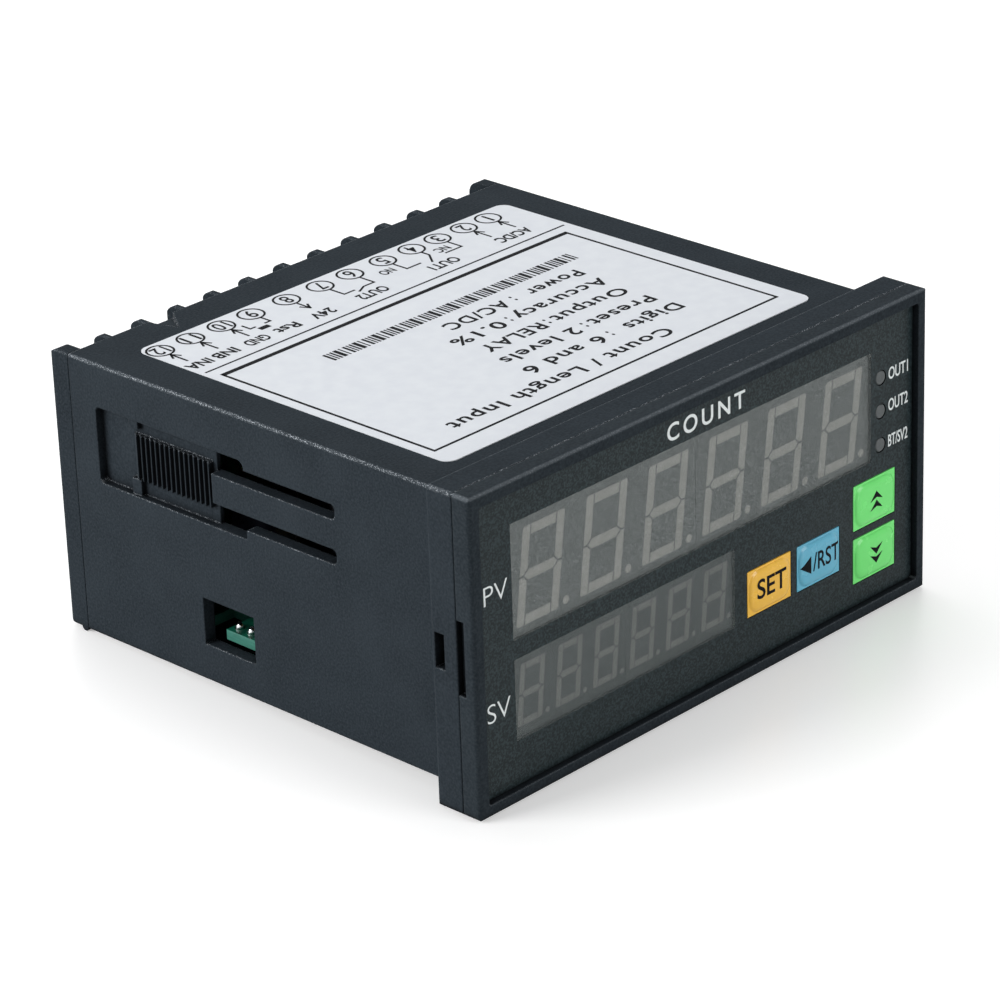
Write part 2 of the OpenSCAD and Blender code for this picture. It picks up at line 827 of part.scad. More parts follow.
module indicator_lamps() {
    color(lamp_grey) at_lamps() {
        rotate_extrude() {
            square([lamp_d / 2 - lamp_edge_r, lamp_len]);
            translate([0, lamp_edge_r]) square([lamp_d / 2, lamp_len - lamp_edge_r]);
            translate([lamp_d / 2 - lamp_edge_r, lamp_edge_r]) circle(lamp_edge_r);
        }
        translate([0, 0, lamp_len - lamp_flange_t]) cylinder(d = lamp_flange_d, h = lamp_flange_t);
    }
}

module lamp_spacers() {
    spacer_bore = 1;
    color(plastic_black) at_lamps()
        translate([0, 0, lamp_len]) difference() {
            cylinder(d = lamp_flange_d, h = display_board_y - film_y - lamp_len);
            translate([0, 0, -past]) cylinder(d = spacer_bore, h = display_board_y - film_y);
        }
}

module display_board() {
    color(board_green) along_y(display_board_y, board_t) difference() {
        round_rect(insert_w, insert_h, bore_r);
        for (side = [-1, 1]) {
            translate([pv_x + side * pv_module_w / 2, pv_z])
                module_pins(pv_module_h, module_pin_hole_d);
            translate([sv_x + side * sv_module_w / 2, -sv_drop])
                module_pins(sv_module_h, module_pin_hole_d);
        }
        header_row() square(header_hole, center = true);
    }
}

module key_switches() {
    color(plastic_black)
        for (at = key_places) translate([at[0], switch_y, at[1]]) {
            difference() {
                along_y(0, switch_t) square(switch_w, center = true);
                translate([0, -past, 0]) rotate([-90, 0, 0])
                    cylinder(d = plunger_bore_d, h = switch_floor + past);
            }
            for (side = [-1, 1]) translate([0, switch_t - switch_leg_t, side * switch_w / 2])
                along_y(0, switch_leg_t) square([switch_leg_w, 2 * switch_leg_w], center = true);
        }
}

// One key: the plate that fills its hole in the film, and the embossed dome
module key(at) {
    dome_x = key_w / 2 - key_dome_margin - key_dome_r;
    dome_z = key_h / 2 - key_dome_margin - key_dome_r;
    translate([at[0], film_y, at[1]]) {
        along_y(0, film_t) round_rect(key_w, key_h, key_corner_r);
        intersection() {
            hull() for (x = [-dome_x, dome_x], z = [-dome_z, dome_z])
                translate([x, film_t / 2, z])
                    scale([key_dome_r, key_dome + film_t / 2, key_dome_r]) sphere(1, $fn = 32);
            along_y(-2 * key_dome, 2 * key_dome + film_t / 2) square([key_w, key_h], center = true);
        }
    }
}

// The post between a key and its switch
module plunger(at) {
    translate([at[0], film_back_y, at[1]]) rotate([-90, 0, 0])
        cylinder(d = plunger_d, h = switch_y + plunger_seat - film_back_y);
}

module set_key() {
    color(key_yellow) key(set_at);
}

module shift_key() {
    color(key_blue) key(shift_at);
}

module up_key() {
    color(key_green) key(up_at);
}

module down_key() {
    color(key_green) key(down_at);
}

module set_plunger() {
    color(plastic_black) plunger(set_at);
}

module shift_plunger() {
    color(plastic_black) plunger(shift_at);
}

module up_plunger() {
    color(plastic_black) plunger(up_at);
}

module down_plunger() {
    color(plastic_black) plunger(down_at);
}

// The main board, with a notch in its left edge behind the side window
module main_board() {
    color(board_green) along_z(main_board_z, board_t) difference() {
        translate([0, main_board_front + main_board_len / 2]) round_rect(insert_w, main_board_len, bore_r);
        translate([-insert_w / 2 - past, window_end - board_notch_len])
            square([board_notch_d + past, board_notch_len + rail_gap]);
    }
}

// The header that joins the display board to the main board
module header_row() {
    for (i = [0 : header_count - 1])
        translate([(i - (header_count - 1) / 2) * header_pitch, header_z]) children();
}

module header_block() {
    color(plastic_black) along_y(display_board_back_y, header_t) difference() {
        translate([0, header_z]) square([header_count * header_pitch, header_t], center = true);
        header_row() square(header_hole, center = true);
    }
}

// Each pin runs through the display board and the block, then down to the main board
module header_pins() {
    pin_len = board_t + header_t + 2 * header_pin;
    color(brass) {
        along_y(display_board_y, pin_len) header_row() square(header_pin, center = true);
        along_y(display_board_y + pin_len - header_pin, header_pin) header_row()
            translate([-header_pin / 2, -header_t / 2]) square([header_pin, header_t / 2]);
    }
}

module controller() {
    chip_t = 1.5;
    chip_z = 2;
    color(plastic_black) along_y(display_board_back_y, chip_t)
        translate([0, chip_z]) round_rect(chip_w, chip_w, bore_r);
}

// The supply transformer: a closed ferrite core and the coil round its middle leg
module core_outline() {
    difference() {
        translate([-core_w / 2, 0]) square([core_w, core_h]);
        for (side = [-1, 1])
            translate([(side * (core_leg + core_window_w) - core_window_w) / 2, core_yoke])
                square([core_window_w, core_h - 2 * core_yoke]);
    }
}

module transformer_core() {
    color(ferrite) translate([transformer_at[0], transformer_at[1], main_board_top])
        along_y(-core_d / 2, core_d) core_outline();
}

module transformer_coil() {
    coil_w = core_w - 2 * core_yoke - 2 * case_fit;
    coil_h = core_h - 2 * core_yoke - 2 * case_fit;
    coil_z = main_board_top + core_yoke + case_fit;
    color(tape_yellow) translate([transformer_at[0], transformer_at[1], coil_z])
        along_z(0, coil_h) difference() {
            round_rect(coil_w, core_d + 2 * coil_side, core_leg / 2);
            square([core_leg + 2 * case_fit, core_d + 2 * case_fit], center = true);
        }
}

// The two output relays, side by side near the terminals
module relay(side) {
    color(relay_blue) translate([relay_x + side * (relay_w + relay_gap) / 2, relay_y, main_board_top])
        linear_extrude(relay_h) round_rect(relay_w, relay_len, relay_edge_r);
}

module relay_one() {
    relay(-1);
}

module relay_two() {
    relay(1);
}

// A can on the main board with a bead near its foot
module capacitor(d, h) {
    bead_z = 2.4;
    bead_r = 0.5;
    rim_r = 0.6;
    rotate_extrude() difference() {
        union() {
            square([d / 2 - rim_r, h]);
            square([d / 2, h - rim_r]);
            translate([d / 2 - rim_r, h - rim_r]) circle(rim_r);
        }
        translate([d / 2 + bead_r / 2, bead_z]) circle(bead_r);
    }
}

module filter_capacitors() {
    small = 0.8;
    color(sleeve_dark) translate([0, 0, main_board_top]) {
        translate([transformer_at[0] - capacitor_d / 2, transformer_at[1] + core_d + 2 * capacitor_d, 0])
            capacitor(capacitor_d, capacitor_h);
        translate([transformer_at[0] + capacitor_d, transformer_at[1] + core_d + 2 * capacitor_d, 0])
            capacitor(capacitor_d * small, capacitor_h * small);
    }
}

module terminal_board() {
    color(board_green) along_y(terminal_board_y, board_t) difference() {
        translate([-insert_w / 2, terminal_board_z]) square([insert_w, terminal_board_h]);
        pin_slots();
    }
}

// The slots that the terminal pins pass through
module pin_slots() {
    for (x = bay_xs) translate([x, -pin_drop]) square([pin_w, tab_t] + [2, 2] * slide_fit, center = true);
}

// One inner fin about x = 0 with its foot in the cover, its free edges rounded
module fin() {
    half_h = case_h / 2 - fin_drop;
    foot_y = bay_floor_y - past;
    intersection() {
        along_x(-fin_t / 2, fin_t) {
            translate([foot_y, -insert_h / 2]) square([fin_y - foot_y + fin_r, insert_h]);
            translate([fin_y, 0]) round_end(fin_depth, 2 * half_h, fin_r);
        }
        along_y(foot_y, rear_y - foot_y) round_rect(fin_t, 2 * half_h, fin_edge_r);
        along_z(-half_h, 2 * half_h)
            translate([0, foot_y]) rotate(90) round_end(rear_y - foot_y, fin_t, fin_edge_r);
    }
}

// The two outer fins, flush with the case
module outer_fins() {
    intersection() {
        along_x(-case_w / 2, case_w) translate([fin_y, 0]) round_end(fin_depth, case_h, outer_fin_r);
        along_y(fin_y, fin_depth) round_rect(case_w, case_h, case_corner_r);
        along_z(-case_h / 2, case_h)
            translate([0, fin_y]) rotate(90) round_end(fin_depth, case_w, outer_edge_r);
        both_sides() translate([case_w / 2 - outer_fin_t, fin_y, -case_h / 2])
            cube([outer_fin_t, fin_depth, case_h]);
    }
}

// The latch on the edge of the cover, standing in its pocket in the case
module cover_latch() {
    translate([-tongue_x - tongue_w / 2, tongue_y, insert_h / 2 - past])
        cube([tongue_w, tongue_len, past + case_fit + tongue_rise]);
}

// The small nib under the front corner of an outer fin
module fin_nib() {
    nib_r = 0.7;
    nib_proud = 0.35;
    along_x(case_w / 2 - outer_fin_t, outer_fin_t) intersection() {
        translate([fin_y + nib_r, nib_r - nib_proud - case_h / 2]) circle(nib_r);
        translate([fin_y, -case_h / 2 - nib_proud]) square([2 * nib_r, 2 * nib_r]);
    }
}

module rear_cover() {
    gusset_len = (insert_h - tab_h) / 2 - gusset_clear;
    color(charcoal) difference() {
        union() {
            along_y(cover_y, cover_t) round_rect(insert_w, insert_h, bore_r);
            for (x = fin_xs) translate([x, 0, 0]) fin();
            outer_fins();
            both_sides() {
                fin_nib();
                for (z = [-insert_h / 2, insert_h / 2 - gusset_len])
                    translate([insert_w / 2 - gusset_w, bay_floor_y - past, z])
                        cube([gusset_w, fin_y + gusset_rise - bay_floor_y + past, gusset_len]);
            }
            for (turn = [0, 180]) rotate([0, turn, 0]) cover_latch();
        }
        along_y(cover_y - past, cover_t + 2 * past) {
            pin_slots();
            for (x = bay_xs) translate([x, 0]) circle(d = screw_d + 2 * slide_fit);
        }
    }
}

module terminal_tabs() {
    color(brass) for (x = bay_xs) translate([x, 0, 0]) {
        along_y(tab_y, tab_t) difference() {
            square([tab_w, tab_h], center = true);
            circle(d = screw_d + 2 * slide_fit);
        }
        along_y(terminal_board_y - pin_out, tab_y + tab_t - terminal_board_y + pin_out)
            translate([0, -pin_drop]) square([pin_w, tab_t], center = true);
    }
}

module terminal_clamps() {
    color(steel) for (x = bay_xs) translate([x, 0, 0]) difference() {
        along_y(clamp_y, clamp_t) difference() {
            round_rect(tab_w, clamp_h, bore_r);
            circle(d = screw_d + 2 * slide_fit);
        }
        for (side = [-1, 1])
            translate([-tab_w, clamp_y - past, side * clamp_h / 3 - clamp_groove_w / 2])
                cube([2 * tab_w, past + clamp_groove, clamp_groove_w]);
    }
}

module terminal_screws() {
    head_r = 0.4;
    color(steel) for (x = bay_xs) translate([x, 0, 0]) difference() {
        union() {
            translate([0, head_y, 0]) rotate([-90, 0, 0]) rotate_extrude() {
                square([screw_head_d / 2, screw_head_t - head_r]);
                square([screw_head_d / 2 - head_r, screw_head_t]);
                translate([screw_head_d / 2 - head_r, screw_head_t - head_r]) circle(head_r);
            }
            translate([0, screw_end_y, 0]) rotate([-90, 0, 0])
                cylinder(d = screw_d, h = head_y - screw_end_y + past);
        }
        for (turn = [0, 90])
            translate([0, head_y + screw_head_t - recess_t, 0]) rotate([0, turn, 0])
                along_y(0, recess_t + past) square([recess_l, recess_w], center = true);
    }
}

module rating_label() {
    color(label_white) along_z(case_h / 2, label_t)
        translate([0, label_start + label_len / 2]) round_rect(label_w, label_len, label_r);
}

case();
front_frame();
front_overlay();
pv_window();
sv_window();
pv_display_left();
pv_display_right();
pv_segments();
sv_display_left();
sv_display_right();
sv_segments();
indicator_lamps();
lamp_spacers();
display_board();
key_switches();
set_key();
shift_key();
up_key();
down_key();
set_plunger();
shift_plunger();
up_plunger();
down_plunger();
main_board();
header_block();
header_pins();
controller();
transformer_core();
transformer_coil();
relay_one();
relay_two();
filter_capacitors();
terminal_board();
rear_cover();
terminal_tabs();
terminal_clamps();
terminal_screws();
rating_label();
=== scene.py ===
"""The looks of a panel counter: finishes for its CAD nodes, the print on its film and label,
smooth embossed key pads, small parts on the board behind the side window, light and camera.
Metres, in the CAD frame: X right seen from the front, Y to the back, Z up."""

import itertools
import math

import bmesh
import bpy
from mathutils import Matrix, Vector

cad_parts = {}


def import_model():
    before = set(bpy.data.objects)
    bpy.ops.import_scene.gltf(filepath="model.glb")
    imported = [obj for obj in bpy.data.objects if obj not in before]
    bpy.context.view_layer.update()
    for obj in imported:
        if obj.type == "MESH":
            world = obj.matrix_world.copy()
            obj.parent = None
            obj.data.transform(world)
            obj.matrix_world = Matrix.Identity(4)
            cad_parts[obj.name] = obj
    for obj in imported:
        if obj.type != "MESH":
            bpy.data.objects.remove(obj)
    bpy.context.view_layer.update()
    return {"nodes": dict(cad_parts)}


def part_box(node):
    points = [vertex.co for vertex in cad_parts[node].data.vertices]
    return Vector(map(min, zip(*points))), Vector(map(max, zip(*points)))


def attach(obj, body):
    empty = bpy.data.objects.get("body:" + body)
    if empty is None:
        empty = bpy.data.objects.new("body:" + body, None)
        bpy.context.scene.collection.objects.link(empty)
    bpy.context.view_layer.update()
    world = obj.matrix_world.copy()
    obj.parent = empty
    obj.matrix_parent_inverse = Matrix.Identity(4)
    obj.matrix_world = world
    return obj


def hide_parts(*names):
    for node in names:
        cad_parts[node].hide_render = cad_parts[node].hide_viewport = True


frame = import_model()
nodes = frame["nodes"]

MM = 0.001

# The photograph's camera, in millimetres and degrees
CAMERA_AT = Vector((-409.32, -366.14, 255.52))
CAMERA_AIM = Vector((-10.48, 22.60, 1.83))
CAMERA_ROLL = -2.013
CAMERA_LENS = 154.6
CAMERA_SENSOR = 36
CAMERA_NEAR = 10

# The floor touches the bottom edge of the bezel and the rear end of the case, each in Y and Z
FLOOR_FRONT = (-3.0, -24.05)
FLOOR_REAR = (75.0, -22.4)
FLOOR_HALF = 3000
FLOOR_GREY = (0.82, 0.82, 0.82, 1)
FLOOR_ROUGHNESS = 0.35
FLOOR_GLOW = 0.37

# Studio light: the level from all round, and for each softbox its name, place, aim, side and watts
WORLD_LEVEL = 0.2
SOFTBOXES = [
    ("key_light", (150, 230, 640), (0, 20, 0), 520, 2.2),
    ("side_light", (-620, 330, 260), (-45, 35, 0), 420, 5.6),
    ("front_light", (180, -700, 300), (0, -8, 0), 420, 2.8),
]

# Ink on the film and on the label: its thickness, and its height over the face
INK_T = 0.02
INK_LIFT = 0.005

# Embossed key pads: flat margin, corner radius, width of the edge's curve, height of the rim and of the crown
# over it, the step of the mesh, the angle of a sharp edge, and the grid that bends the legends
PAD_MARGIN = 0.3
PAD_CORNER = 2.0
PAD_EDGE = 0.9
PAD_RIM = 0.36
PAD_CROWN = 0.14
PAD_STEP = 0.14
PAD_SHARP = math.radians(50)
LEGEND_STEP = PAD_STEP * 4


def srgb(red, green, blue):
    """A colour as a picture shows it, 0 to 255, in linear values."""
    def linear(c):
        c /= 255
        return c / 12.92 if c <= 0.04045 else ((c + 0.055) / 1.055) ** 2.4
    return linear(red), linear(green), linear(blue), 1.0


SOCKETS = {"metallic": "Metallic", "alpha": "Alpha", "coat": "Coat Weight", "specular": "Specular IOR Level"}
BEVEL_SAMPLES = 4
HOLLOW_SAMPLES = 6


class Finish:
    """A Principled material, with the nodes that vary its colour, roughness and bump in millimetres."""

    def __init__(self, name, colour, roughness, **sockets):
        self.material = bpy.data.materials.new(name)
        self.material.use_nodes = True
        self.tree = self.material.node_tree
        self.shader = self.tree.nodes["Principled BSDF"]
        self.shader.inputs["Base Color"].default_value = colour
        self.shader.inputs["Roughness"].default_value = roughness
        for socket, value in sockets.items():
            self.shader.inputs[SOCKETS[socket]].default_value = value
        place = self.add("ShaderNodeTexCoord")
        scale = self.add("ShaderNodeMapping")
        scale.inputs["Scale"].default_value = (1 / MM,) * 3
        self.link(place.outputs["Object"], scale.inputs["Vector"])
        self.mm = scale.outputs["Vector"]

    def add(self, kind, **settings):
        node = self.tree.nodes.new(kind)
        for key, value in settings.items():
            setattr(node, key, value)
        return node

    def link(self, source, target):
        self.tree.links.new(source, target)

    def noise(self, size, detail, stretch=(1, 1, 1)):
        """Noise from 0 to 1 with features of about size millimetres."""
        node = self.add("ShaderNodeTexNoise")
        node.inputs["Scale"].default_value = 1 / size
        node.inputs["Detail"].default_value = detail
        if stretch == (1, 1, 1):
            self.link(self.mm, node.inputs["Vector"])
        else:
            scale = self.add("ShaderNodeMapping")
            scale.inputs["Scale"].default_value = stretch
            self.link(self.mm, scale.inputs["Vector"])
            self.link(scale.outputs["Vector"], node.inputs["Vector"])
        return node.outputs["Fac"]

    def math(self, operation, a, b):
        node = self.add("ShaderNodeMath", operation=operation)
        for value, socket in zip((a, b), node.inputs):
            if isinstance(value, (int, float)):
                socket.default_value = value
            else:
                self.link(value, socket)
        return node.outputs["Value"]

    def remap(self, value, low, high, to_low, to_high):
        node = self.add("ShaderNodeMapRange")
        for socket, number in zip(list(node.inputs)[1:5], (low, high, to_low, to_high)):
            socket.default_value = number
        self.link(value, node.inputs["Value"])
        return node.outputs["Result"]

    def blend(self, factor, a, b):
        """Colour a where the factor is 0 and b where it is 1; each is a colour or a socket."""
        node = self.add("ShaderNodeMix", data_type="RGBA")
        self.link(factor, node.inputs["Factor"])
        for value, socket in ((a, node.inputs[6]), (b, node.inputs[7])):
            if isinstance(value, tuple):
                socket.default_value = value
            else:
                self.link(value, socket)
        return node.outputs[2]

    def eased(self, radius):
        """The normal of the surface with its sharp edges eased to a radius."""
        bevel = self.add("ShaderNodeBevel", samples=BEVEL_SAMPLES)
        bevel.inputs["Radius"].default_value = radius * MM
        return bevel.outputs["Normal"]

    def square(self, normal):
        """1 where that normal lies along an axis, and down to 0.6 where it doesn't."""
        size = self.add("ShaderNodeVectorMath", operation="ABSOLUTE")
        self.link(normal, size.inputs[0])
        parts = self.add("ShaderNodeSeparateXYZ")
        self.link(size.outputs["Vector"], parts.inputs["Vector"])
        widest = self.math("MAXIMUM", parts.outputs[0], parts.outputs[1])
        return self.math("MAXIMUM", widest, parts.outputs[2])

    def upper_edges(self, normal):
        """1 along edges that look up and 0 on faces square to an axis, for that normal; it places the painted
        edge highlight and glints.
        """
        way = self.add("ShaderNodeSeparateXYZ")
        self.link(normal, way.inputs["Vector"])
        edges = self.remap(self.square(normal), 0.98, 0.84, 0, 1)
        return self.math("MULTIPLY", edges, self.remap(way.outputs[2], 0.1, 0.45, 0, 1))

    def hollows(self, reach):
        """1 in the open and less in corners and slots narrower than about reach millimetres; it masks painted
        shade.
        """
        node = self.add("ShaderNodeAmbientOcclusion", samples=HOLLOW_SAMPLES)
        node.inputs["Distance"].default_value = reach * MM
        return node.outputs["AO"]

    def facing(self, axis):
        """1 on faces square to the axis and 0 on faces along it."""
        normal = self.add("ShaderNodeNewGeometry")
        split = self.add("ShaderNodeSeparateXYZ")
        self.link(normal.outputs["True Normal"], split.inputs["Vector"])
        size = self.add("ShaderNodeMath", operation="ABSOLUTE")
        self.link(split.outputs[axis], size.inputs[0])
        return self.remap(size.outputs["Value"], 0.4, 0.6, 0, 1)

    def colour(self, source):
        self.link(source, self.shader.inputs["Base Color"])

    def roughness(self, source):
        self.link(source, self.shader.inputs["Roughness"])

    def bump(self, height, depth, normal=None):
        """Relief of about depth millimetres, on the surface or on a normal."""
        node = self.add("ShaderNodeBump")
        node.inputs["Distance"].default_value = depth * MM
        self.link(height, node.inputs["Height"])
        if normal:
            self.link(normal, node.inputs["Normal"])
        self.link(node.outputs["Normal"], self.shader.inputs["Normal"])


# Radius of the moulded edges, width of the segments' soft rim, and how far the painted shade reaches into slots
# on the plastic and into corners on the film
EDGE_R = 0.4
RIM_W = 0.45
SLOT_W = 2.5
CORNER_W = 0.8
# Painted light on the moulded plastic: painted shade in its hollows, a painted highlight along its upper edges,
# and painted glints in specks there
PAINTED_HOLLOW_SHADE = srgb(9, 11, 14)
PAINTED_EDGE_HIGHLIGHT = srgb(86, 92, 97)
PAINTED_EDGE_GLINT = srgb(160, 166, 172)


def moulded_plastic(name, colour, light, roughness, grain, depth, glow, painted_glints):
    """Spark-textured moulding: coarse and fine grain, painted shade in its hollows, and a painted highlight and
    painted glints along its upper edges.
    """
    finish = Finish(name, colour, roughness, specular=0.05)
    coarse = finish.noise(grain, 2)
    fine = finish.noise(grain * 0.5, 1)
    cloud = finish.noise(9, 3)
    normal = finish.eased(EDGE_R)
    edge = finish.upper_edges(normal)
    tone = finish.blend(finish.remap(cloud, 0.3, 0.7, 0, 0.3), colour, light)
    grained = finish.blend(finish.remap(coarse, 0.35, 0.7, 0, 0.6), tone, light)
    # Painted shade: a near-black tone blended in where the occlusion mask finds slots and corners
    open_air = finish.remap(finish.hollows(SLOT_W), 0.35, 0.85, 0, 1)
    shaded = finish.blend(open_air, PAINTED_HOLLOW_SHADE, grained)
    # Painted highlight: a lighter tone along the upper edges, as strong as glow
    eased = finish.blend(finish.math("MULTIPLY", edge, glow), shaded, PAINTED_EDGE_HIGHLIGHT)
    # Painted glints: bright specks along the same upper edges
    glint_specks = finish.remap(finish.noise(grain * 0.4, 0), 0.58, 0.66, 0, painted_glints)
    finish.colour(finish.blend(finish.math("MULTIPLY", edge, glint_specks), eased, PAINTED_EDGE_GLINT))
    finish.roughness(finish.remap(fine, 0.3, 0.7, roughness - 0.1, roughness + 0.1))
    finish.bump(finish.math("ADD", coarse, finish.math("MULTIPLY", fine, 0.5)), depth, normal)
    return finish.material


def film(name, colour, light, roughness, size, painted_wall_shade=None, **sockets):
    """Polycarbonate film with a fine matt texture of one size, and painted shade where it meets a wall or a
    raised part.
    """
    finish = Finish(name, colour, roughness, **sockets)
    cloud = finish.noise(14, 2)
    grain = finish.noise(size, 1)
    grained = finish.blend(finish.remap(grain, 0.4, 0.66, 0, 1), colour, light)
    if painted_wall_shade:
        # Painted shade: a darker tone blended in where the occlusion mask finds walls and raised parts close by
        open_air = finish.remap(finish.hollows(CORNER_W), 0.45, 0.9, 0, 1)
        grained = finish.blend(open_air, painted_wall_shade, grained)
    finish.colour(grained)
    finish.roughness(finish.remap(cloud, 0.3, 0.7, roughness - 0.04, roughness + 0.05))
    finish.bump(grain, 0.006)
    return finish.material


def circuit_board(name, axis):
    """Green solder mask over tracks on the faces square to the axis, and bare laminate on the edges."""
    finish = Finish(name, srgb(10, 74, 56), 0.32, coat=0.2)
    lanes = [1, 1, 1]
    lanes[(axis + 1) % 3] = 0.12
    tracks = finish.remap(finish.noise(1.6, 0, tuple(lanes)), 0.47, 0.53, 0, 1)
    mask = finish.blend(tracks, srgb(6, 66, 50), srgb(18, 98, 76))
    weave = finish.blend(finish.noise(0.5, 2, (0.2, 0.2, 2)), srgb(22, 84, 72), srgb(44, 116, 100))
    finish.colour(finish.blend(finish.facing(axis), weave, mask))
    finish.roughness(finish.remap(finish.facing(axis), 0, 1, 0.7, 0.3))
    finish.bump(tracks, 0.02)
    return finish.material


def metal(name, colour, dull, roughness):
    """Plated metal with brushing, dull patches and fine scratches."""
    finish = Finish(name, colour, roughness, metallic=1.0)
    patch = finish.noise(2.2, 4)
    scratch = finish.noise(0.25, 2, (1, 0.08, 1))
    finish.colour(finish.blend(finish.remap(patch, 0.4, 0.7, 0, 0.7), colour, dull))
    finish.roughness(finish.remap(scratch, 0.3, 0.7, roughness - 0.08, roughness + 0.12))
    finish.bump(scratch, 0.008)
    return finish.material


def speckled(name, colour, other, roughness, size, depth, rim=None, **sockets):
    """A second tone in patches of one size, with their relief, and a rim colour that fades in at the edges."""
    finish = Finish(name, colour, roughness, **sockets)
    patch = finish.noise(size, 3)
    tone = finish.blend(finish.remap(patch, 0.35, 0.65, 0, 1), colour, other)
    if rim:
        middle = finish.remap(finish.square(finish.eased(RIM_W)), 0.74, 0.97, 0, 1)
        tone = finish.blend(middle, rim, tone)
    finish.colour(tone)
    finish.roughness(finish.remap(patch, 0.3, 0.7, roughness - 0.05, roughness + 0.05))
    finish.bump(patch, depth)
    return finish.material


# For a plastic: two tones, roughness, grain, depth of the grain, and the strength of the painted highlight and
# of the painted glints along its upper edges.
# For the rest: two tones, roughness, and the size and depth of the texture.
CHARCOAL = moulded_plastic("case_plastic", srgb(29, 35, 40), srgb(49, 56, 62), 0.75, 0.36, 0.05, 0.3, 1.0)
FRONT = moulded_plastic("front_plastic", srgb(27, 33, 38), srgb(50, 57, 62), 0.7, 0.36, 0.03, 0.75, 0.25)
COVER = moulded_plastic("cover_plastic", srgb(24, 30, 35), srgb(48, 55, 61), 0.75, 0.36, 0.05, 0.1, 0.25)
BLACK = moulded_plastic("black_plastic", srgb(22, 22, 24), srgb(44, 44, 46), 0.45, 0.3, 0.03, 0.3, 0.3)
# The overlay film, with near-black painted shade along its walls
FILM = film("overlay_film", srgb(19, 28, 30), srgb(42, 53, 56), 0.4, 0.28,
            painted_wall_shade=srgb(8, 10, 11), specular=0.12)
PV_PANE = film("pv_pane", srgb(94, 101, 101), srgb(144, 151, 150), 0.4, 0.32, alpha=0.34, specular=0.15)
SV_PANE = film("sv_pane", srgb(82, 90, 90), srgb(112, 119, 119), 0.4, 0.32, alpha=0.44, specular=0.15)
DISPLAY_BODY = speckled("display_body", srgb(116, 119, 119), srgb(124, 126, 125), 0.55, 0.8, 0.004)
SEGMENT = speckled("display_segment", srgb(222, 219, 211), srgb(230, 227, 219), 0.4, 1.2, 0.003,
                   rim=srgb(140, 142, 140))
LAMP = speckled("lamp_lens", srgb(54, 60, 62), srgb(67, 73, 74), 0.4, 0.4, 0.003)
BRASS = metal("terminal_brass", srgb(214, 182, 110), srgb(170, 138, 74), 0.3)
STEEL = metal("plated_steel", srgb(206, 208, 212), srgb(160, 162, 166), 0.28)
SOLDER = metal("solder", srgb(222, 224, 226), srgb(190, 192, 194), 0.16)
FERRITE = speckled("ferrite", srgb(52, 50, 50), srgb(66, 64, 62), 0.7, 0.4, 0.03)
TAPE = speckled("coil_tape", srgb(212, 186, 70), srgb(224, 202, 96), 0.35, 3, 0.05)
RELAY = speckled("relay_case", srgb(30, 70, 140), srgb(38, 82, 156), 0.35, 0.5, 0.01)
SLEEVE = speckled("capacitor_sleeve", srgb(34, 38, 58), srgb(44, 48, 70), 0.3, 2, 0.01)
LABEL = speckled("label_paper", srgb(211, 215, 221), srgb(216, 220, 225), 0.55, 2.5, 0.002, specular=0.2)
YELLOW = speckled("key_yellow", srgb(240, 184, 52), srgb(242, 188, 58), 0.24, 2.5, 0.001)
BLUE = speckled("key_blue", srgb(86, 171, 199), srgb(90, 174, 202), 0.24, 2.5, 0.001)
GREEN = speckled("key_green", srgb(106, 230, 112), srgb(110, 233, 116), 0.24, 2.5, 0.001)
WHITE_INK = speckled("white_ink", srgb(226, 232, 232), srgb(214, 220, 220), 0.5, 0.3, 0.004)
BLACK_INK = speckled("black_ink", srgb(12, 13, 16), srgb(20, 21, 24), 0.6, 0.3, 0.004, specular=0.05)

NODE_FINISH = {
    CHARCOAL: ["case"],
    FRONT: ["front_frame"],
    COVER: ["rear_cover"],
    FILM: ["front_overlay"],
    PV_PANE: ["pv_window"],
    SV_PANE: ["sv_window"],
    DISPLAY_BODY: ["pv_display_left", "pv_display_right", "sv_display_left", "sv_display_right"],
    SEGMENT: ["pv_segments", "sv_segments"],
    LAMP: ["indicator_lamps"],
    BLACK: ["lamp_spacers", "key_switches", "set_plunger", "shift_plunger", "up_plunger",
            "down_plunger", "header_block", "controller"],
    circuit_board("upright_board", 1): ["display_board", "terminal_board"],
    circuit_board("flat_board", 2): ["main_board"],
    BRASS: ["header_pins", "terminal_tabs"],
    STEEL: ["terminal_clamps", "terminal_screws"],
    FERRITE: ["transformer_core"],
    TAPE: ["transformer_coil"],
    RELAY: ["relay_one", "relay_two"],
    SLEEVE: ["filter_capacitors"],
    LABEL: ["rating_label"],
    YELLOW: ["set_key"],
    BLUE: ["shift_key"],
    GREEN: ["up_key", "down_key"],
}
for material, names in NODE_FINISH.items():
    for name in names:
        nodes[name].data.materials.clear()
        nodes[name].data.materials.append(material)


def piece(name, bm, material, body, smooth=False):
    """A mesh piece of the object that moves with a CAD body."""
    mesh = bpy.data.meshes.new(name)
    bmesh.ops.recalc_face_normals(bm, faces=bm.faces)
    for face in bm.faces:
        face.smooth = smooth
    bm.to_mesh(mesh)
    bm.free()
    mesh.materials.append(material)
    obj = bpy.data.objects.new(name, mesh)
    bpy.context.collection.objects.link(obj)
    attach(obj, body)
    return obj


LETTER_STEPS = 6


def letters(words, weight, spacing):
    """Some words as a flat mesh in the font's own units, from the left end of the baseline."""
    curve = bpy.data.curves.new("words", "FONT")
    curve.body = words
    curve.offset = weight
    curve.space_character = spacing
    curve.resolution_u = LETTER_STEPS
    obj = bpy.data.objects.new("words", curve)
    bpy.context.collection.objects.link(obj)
    mesh = bpy.data.meshes.new_from_object(obj.evaluated_get(bpy.context.evaluated_depsgraph_get()))
    bpy.data.objects.remove(obj)
    bpy.data.curves.remove(curve)
    return mesh


